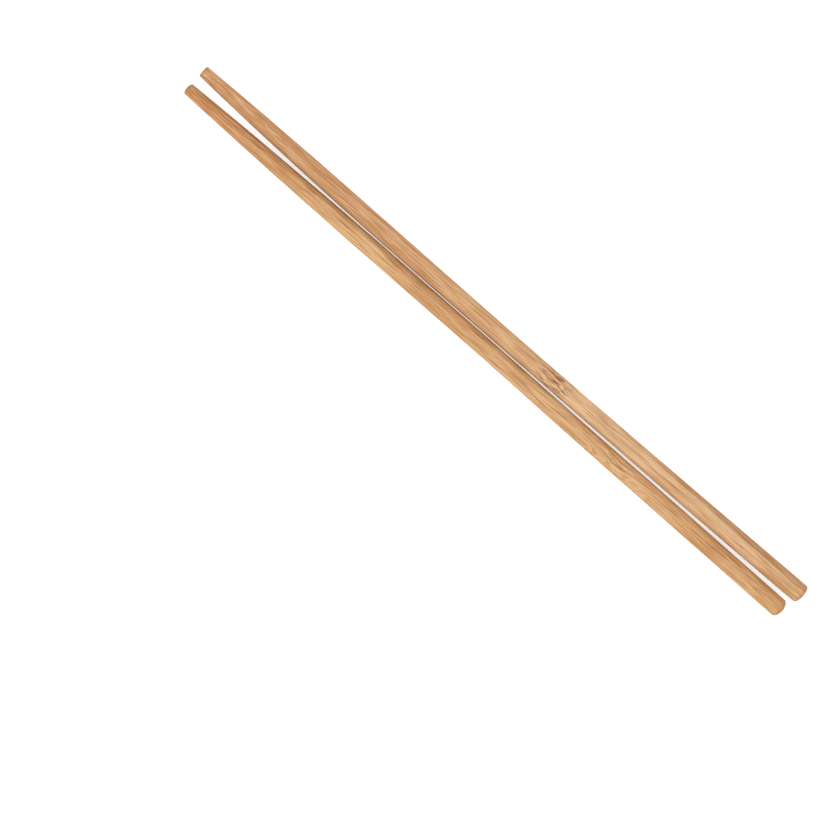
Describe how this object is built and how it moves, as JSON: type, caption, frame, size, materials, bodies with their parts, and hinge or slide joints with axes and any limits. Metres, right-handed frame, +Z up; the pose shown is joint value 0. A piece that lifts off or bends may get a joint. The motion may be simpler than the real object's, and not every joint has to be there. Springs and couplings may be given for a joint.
{
  "type": "bamboo chopsticks",
  "caption": "Round bamboo chopsticks lying side by side, with slim tapered tips and shallow domed thick ends, for lifting food.",
  "frame": {"origin": "on the table under the middle of the pair's outline", "axes": "+X along the sticks from the thin tips to the thick ends, +Z up, +Y towards the right stick as the user sees it"},
  "size_m": [0.231, 0.013, 0.0059],
  "materials": {
    "bamboo": "bare turned and sanded bamboo, uncoated"
  },
  "bodies": {
    "root": {"left_chopstick": "bamboo", "right_chopstick": "bamboo"}
  },
  "joints": []
}
